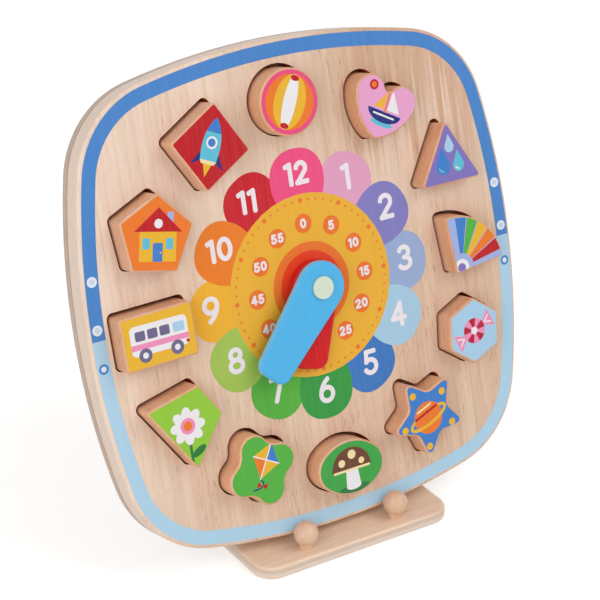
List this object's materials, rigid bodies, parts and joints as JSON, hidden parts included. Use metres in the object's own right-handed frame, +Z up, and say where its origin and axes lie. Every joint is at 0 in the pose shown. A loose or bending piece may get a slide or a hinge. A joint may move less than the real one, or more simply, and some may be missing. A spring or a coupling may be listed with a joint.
{
  "type": "shape sorting clock",
  "caption": "Wooden teaching clock: a leaning board with shaped cut-outs and loose sorting blocks, two turning hands, and a low stand with pegs and a back rest.",
  "frame": {"origin": "middle of the base plate's underside, on the surface that the clock stands on", "axes": "+Z up, -Y the side that the dial faces, +X to the right as seen from the front"},
  "size_m": [0.3, 0.12, 0.3027],
  "materials": {
    "stand_wood": "clear satin lacquer",
    "board_wood": "clear satin lacquer, printed",
    "panel_wood": "clear satin lacquer",
    "block_wood": "sanded, printed face",
    "red_paint": "painted satin",
    "blue_paint": "painted satin",
    "cream_paint": "painted satin",
    "washer_fibre": "matt",
    "screw_steel": "bright"
  },
  "bodies": {
    "stand": {"base_plate": "stand_wood", "back_rest": "stand_wood", "peg_left": "stand_wood", "peg_right": "stand_wood", "screw_left": "screw_steel", "screw_right": "screw_steel"},
    "clock_board": {"face_board": "board_wood", "back_panel": "panel_wood", "hand_axle": "cream_paint", "washer_lower": "washer_fibre", "washer_upper": "washer_fibre"},
    "short_hand": {"short_hand": "red_paint"},
    "long_hand": {"long_hand": "blue_paint"},
    "circle_block": {"circle_block": "block_wood"},
    "heart_block": {"heart_block": "block_wood"},
    "triangle_block": {"triangle_block": "block_wood"},
    "quarter_circle_block": {"quarter_circle_block": "block_wood"},
    "hexagon_block": {"hexagon_block": "block_wood"},
    "star_block": {"star_block": "block_wood"},
    "oval_block": {"oval_block": "block_wood"},
    "quatrefoil_block": {"quatrefoil_block": "block_wood"},
    "trapezoid_block": {"trapezoid_block": "block_wood"},
    "rectangle_block": {"rectangle_block": "block_wood"},
    "pentagon_block": {"pentagon_block": "block_wood"},
    "square_block": {"square_block": "block_wood"}
  },
  "joints": [
    {"name": "board_lift", "type": "slide", "parent": "stand", "child": "clock_board", "axis": [0, 0.2588, 0.9659], "range_m": [0, 0.14]},
    {"name": "short_hand_turn", "type": "hinge", "parent": "clock_board", "child": "short_hand", "pos_m": [0, -0.0027, 0.15816], "axis": [0, -0.9659, 0.2588], "continuous": true},
    {"name": "long_hand_turn", "type": "hinge", "parent": "clock_board", "child": "long_hand", "pos_m": [0, -0.0027, 0.15816], "axis": [0, -0.9659, 0.2588], "continuous": true},
    {"name": "circle_block_lift", "type": "slide", "parent": "clock_board", "child": "circle_block", "axis": [0, -0.9659, 0.2588], "range_m": [0, 0.04]},
    {"name": "heart_block_lift", "type": "slide", "parent": "clock_board", "child": "heart_block", "axis": [0, -0.9659, 0.2588], "range_m": [0, 0.04]},
    {"name": "triangle_block_lift", "type": "slide", "parent": "clock_board", "child": "triangle_block", "axis": [0, -0.9659, 0.2588], "range_m": [0, 0.04]},
    {"name": "quarter_circle_block_lift", "type": "slide", "parent": "clock_board", "child": "quarter_circle_block", "axis": [0, -0.9659, 0.2588], "range_m": [0, 0.04]},
    {"name": "hexagon_block_lift", "type": "slide", "parent": "clock_board", "child": "hexagon_block", "axis": [0, -0.9659, 0.2588], "range_m": [0, 0.04]},
    {"name": "star_block_lift", "type": "slide", "parent": "clock_board", "child": "star_block", "axis": [0, -0.9659, 0.2588], "range_m": [0, 0.04]},
    {"name": "oval_block_lift", "type": "slide", "parent": "clock_board", "child": "oval_block", "axis": [0, -0.9659, 0.2588], "range_m": [0, 0.04]},
    {"name": "quatrefoil_block_lift", "type": "slide", "parent": "clock_board", "child": "quatrefoil_block", "axis": [0, -0.9659, 0.2588], "range_m": [0, 0.04]},
    {"name": "trapezoid_block_lift", "type": "slide", "parent": "clock_board", "child": "trapezoid_block", "axis": [0, -0.9659, 0.2588], "range_m": [0, 0.04]},
    {"name": "rectangle_block_lift", "type": "slide", "parent": "clock_board", "child": "rectangle_block", "axis": [0, -0.9659, 0.2588], "range_m": [0, 0.04]},
    {"name": "pentagon_block_lift", "type": "slide", "parent": "clock_board", "child": "pentagon_block", "axis": [0, -0.9659, 0.2588], "range_m": [0, 0.04]},
    {"name": "square_block_lift", "type": "slide", "parent": "clock_board", "child": "square_block", "axis": [0, -0.9659, 0.2588], "range_m": [0, 0.04]}
  ]
}
